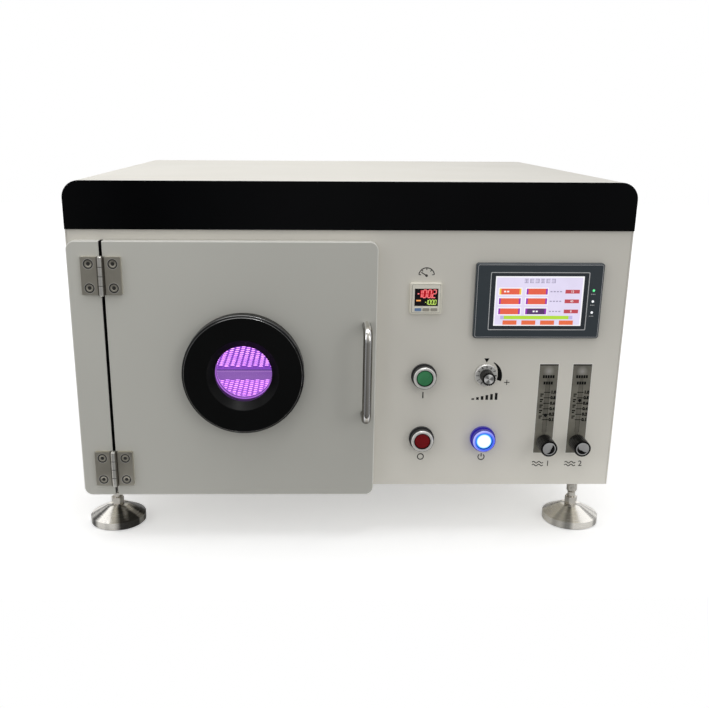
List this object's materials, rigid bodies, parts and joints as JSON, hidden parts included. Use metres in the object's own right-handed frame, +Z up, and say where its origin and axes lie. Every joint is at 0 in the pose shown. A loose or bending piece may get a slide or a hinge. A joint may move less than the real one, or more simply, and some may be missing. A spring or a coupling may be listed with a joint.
{
  "type": "plasma cleaner",
  "caption": "Benchtop vacuum plasma cleaner: off-white cabinet, hinged door with a round window, touch screen, push buttons, flow meters and levelling feet.",
  "frame": {"origin": "centre of the whole part's footprint box, at the underside of the feet", "axes": "+X to the right seen from the front, +Y from the door to the rear panel, +Z up"},
  "size_m": [0.615, 0.555, 0.405],
  "materials": {
    "cabinet_paint": "fine textured powder coat, warm off-white",
    "door_paint": "satin powder coat, warm grey",
    "band_black": "gloss black",
    "ring_black": "polished black",
    "stainless_brushed": "brushed stainless steel",
    "stainless_polished": "polished stainless steel",
    "chamber_steel": "satin stainless steel",
    "tray_metal": "satin aluminium",
    "ceramic_white": "matt ceramic",
    "rail_white": "white fluoropolymer",
    "rubber_black": "matt elastomer",
    "clear_glass": "clear polished glass",
    "screen_glass": "glossy lit screen",
    "slate_plastic": "fine grained slate grey",
    "ivory_plastic": "smooth ivory",
    "black_plastic": "fine grained black",
    "chrome_trim": "bright plated",
    "green_plastic": "smooth green",
    "red_plastic": "smooth red",
    "blue_lamp": "lit blue",
    "acrylic": "clear acrylic",
    "float_black": "smooth black",
    "knob_black": "black with a spun silver face",
    "aluminium_cast": "natural aluminium",
    "brass_body": "plain brass",
    "nylon_tube": "translucent nylon",
    "zinc_steel": "zinc plated"
  },
  "bodies": {
    "cabinet": {"cabinet_cover": "cabinet_paint", "base_pan": "cabinet_paint", "front_panel": "cabinet_paint", "rear_panel": "cabinet_paint", "fascia_band": "band_black", "foot_lock_nuts": "stainless_brushed", "hinge_strip": "door_paint", "hinge_frame_leaves": "stainless_brushed", "hinge_pins": "stainless_brushed", "chamber_body": "chamber_steel", "door_seal": "rubber_black", "tray_rails": "rail_white", "tray_upper": "tray_metal", "tray_lower": "tray_metal", "rf_feedthrough": "ceramic_white", "rf_generator": "aluminium_cast", "power_supply": "aluminium_cast", "controller": "black_plastic", "vacuum_valve": "zinc_steel", "vacuum_pipe": "chamber_steel", "vacuum_port": "chamber_steel", "gas_inlet_fittings": "brass_body", "gas_solenoid_valves": "brass_body", "gas_tubes": "nylon_tube", "mains_inlet": "black_plastic", "fan_housing": "black_plastic", "fan_guard": "chrome_trim", "touch_screen_body": "slate_plastic", "touch_screen_glass": "screen_glass", "pressure_display_bezel": "ivory_plastic", "pressure_display_body": "ivory_plastic", "button_bezels": "chrome_trim", "button_contact_blocks": "black_plastic", "power_potentiometer": "black_plastic", "flow_meter_left": "acrylic", "flow_meter_right": "acrylic"},
    "door": {"door_plate": "door_paint", "hinge_door_leaves": "stainless_brushed", "window_ring": "ring_black", "window_glass": "clear_glass", "window_gasket": "rubber_black", "door_handle": "stainless_polished"},
    "start_button": {"start_button_cap": "green_plastic"},
    "stop_button": {"stop_button_cap": "red_plastic"},
    "power_button": {"power_button_cap": "blue_lamp"},
    "power_knob": {"power_knob": "knob_black", "potentiometer_shaft": "zinc_steel"},
    "flow_knob_left": {"flow_knob_left": "knob_black"},
    "flow_knob_right": {"flow_knob_right": "knob_black"},
    "flow_float_left": {"flow_float_left": "float_black"},
    "flow_float_right": {"flow_float_right": "float_black"},
    "fan_rotor": {"fan_rotor": "black_plastic"},
    "foot_pad_front_left": {"foot_pad_front_left": "stainless_polished"},
    "foot_stem_front_left": {"foot_stem_front_left": "stainless_polished"},
    "foot_pad_front_right": {"foot_pad_front_right": "stainless_polished"},
    "foot_stem_front_right": {"foot_stem_front_right": "stainless_polished"},
    "foot_pad_rear_left": {"foot_pad_rear_left": "stainless_polished"},
    "foot_stem_rear_left": {"foot_stem_rear_left": "stainless_polished"},
    "foot_pad_rear_right": {"foot_pad_rear_right": "stainless_polished"},
    "foot_stem_rear_right": {"foot_stem_rear_right": "stainless_polished"}
  },
  "joints": [
    {"name": "door_hinge", "type": "hinge", "parent": "cabinet", "child": "door", "pos_m": [-0.2616, -0.2487, 0.2], "axis": [0, 0, -1], "range_deg": [0, 175]},
    {"name": "start_button_press", "type": "slide", "parent": "cabinet", "child": "start_button", "axis": [0, 1, 0], "range_m": [0, 0.0035], "stiffness_N_per_m": 900, "springref_m": -0.002},
    {"name": "stop_button_press", "type": "slide", "parent": "cabinet", "child": "stop_button", "axis": [0, 1, 0], "range_m": [0, 0.0035], "stiffness_N_per_m": 900, "springref_m": -0.002},
    {"name": "power_button_press", "type": "slide", "parent": "cabinet", "child": "power_button", "axis": [0, 1, 0], "range_m": [0, 0.0035], "stiffness_N_per_m": 900, "springref_m": -0.002},
    {"name": "power_knob_turn", "type": "hinge", "parent": "cabinet", "child": "power_knob", "pos_m": [0.1524, -0.2325, 0.1962], "axis": [0, -1, 0], "range_deg": [-255, 45]},
    {"name": "flow_knob_left_turn", "type": "hinge", "parent": "cabinet", "child": "flow_knob_left", "pos_m": [0.2222, -0.2325, 0.1186], "axis": [0, -1, 0], "range_deg": [-360, 720]},
    {"name": "flow_knob_right_turn", "type": "hinge", "parent": "cabinet", "child": "flow_knob_right", "pos_m": [0.2594, -0.2325, 0.1186], "axis": [0, -1, 0], "range_deg": [-360, 720]},
    {"name": "flow_float_left_rise", "type": "slide", "parent": "cabinet", "child": "flow_float_left", "axis": [0, 0, 1], "range_m": [-0.0204, 0.0496]},
    {"name": "flow_float_right_rise", "type": "slide", "parent": "cabinet", "child": "flow_float_right", "axis": [0, 0, 1], "range_m": [-0.0378, 0.0322]},
    {"name": "fan_spin", "type": "hinge", "parent": "cabinet", "child": "fan_rotor", "pos_m": [0.15, 0.235, 0.3], "axis": [0, 1, 0], "continuous": true},
    {"name": "foot_front_left_height", "type": "slide", "parent": "cabinet", "child": "foot_pad_front_left", "axis": [0, 0, 1], "range_m": [-0.0105, 0.00525]},
    {"name": "foot_front_left_turn", "type": "hinge", "parent": "foot_pad_front_left", "child": "foot_stem_front_left", "pos_m": [-0.275, -0.1875, 0.03], "axis": [0, 0, 1], "range_deg": [-2340, 1260]},
    {"name": "foot_front_right_height", "type": "slide", "parent": "cabinet", "child": "foot_pad_front_right", "axis": [0, 0, 1], "range_m": [-0.0105, 0.00525]},
    {"name": "foot_front_right_turn", "type": "hinge", "parent": "foot_pad_front_right", "child": "foot_stem_front_right", "pos_m": [0.275, -0.1875, 0.03], "axis": [0, 0, 1], "range_deg": [-2340, 1260]},
    {"name": "foot_rear_left_height", "type": "slide", "parent": "cabinet", "child": "foot_pad_rear_left", "axis": [0, 0, 1], "range_m": [-0.0105, 0.00525]},
    {"name": "foot_rear_left_turn", "type": "hinge", "parent": "foot_pad_rear_left", "child": "foot_stem_rear_left", "pos_m": [-0.275, 0.2025, 0.03], "axis": [0, 0, 1], "range_deg": [-2340, 1260]},
    {"name": "foot_rear_right_height", "type": "slide", "parent": "cabinet", "child": "foot_pad_rear_right", "axis": [0, 0, 1], "range_m": [-0.0105, 0.00525]},
    {"name": "foot_rear_right_turn", "type": "hinge", "parent": "foot_pad_rear_right", "child": "foot_stem_rear_right", "pos_m": [0.275, 0.2025, 0.03], "axis": [0, 0, 1], "range_deg": [-2340, 1260]}
  ],
  "couplings": [
    {"joint": "foot_front_left_turn", "follows": "foot_front_left_height", "rad_per_m": 3590.4},
    {"joint": "foot_front_right_turn", "follows": "foot_front_right_height", "rad_per_m": 3590.4},
    {"joint": "foot_rear_left_turn", "follows": "foot_rear_left_height", "rad_per_m": 3590.4},
    {"joint": "foot_rear_right_turn", "follows": "foot_rear_right_height", "rad_per_m": 3590.4}
  ]
}
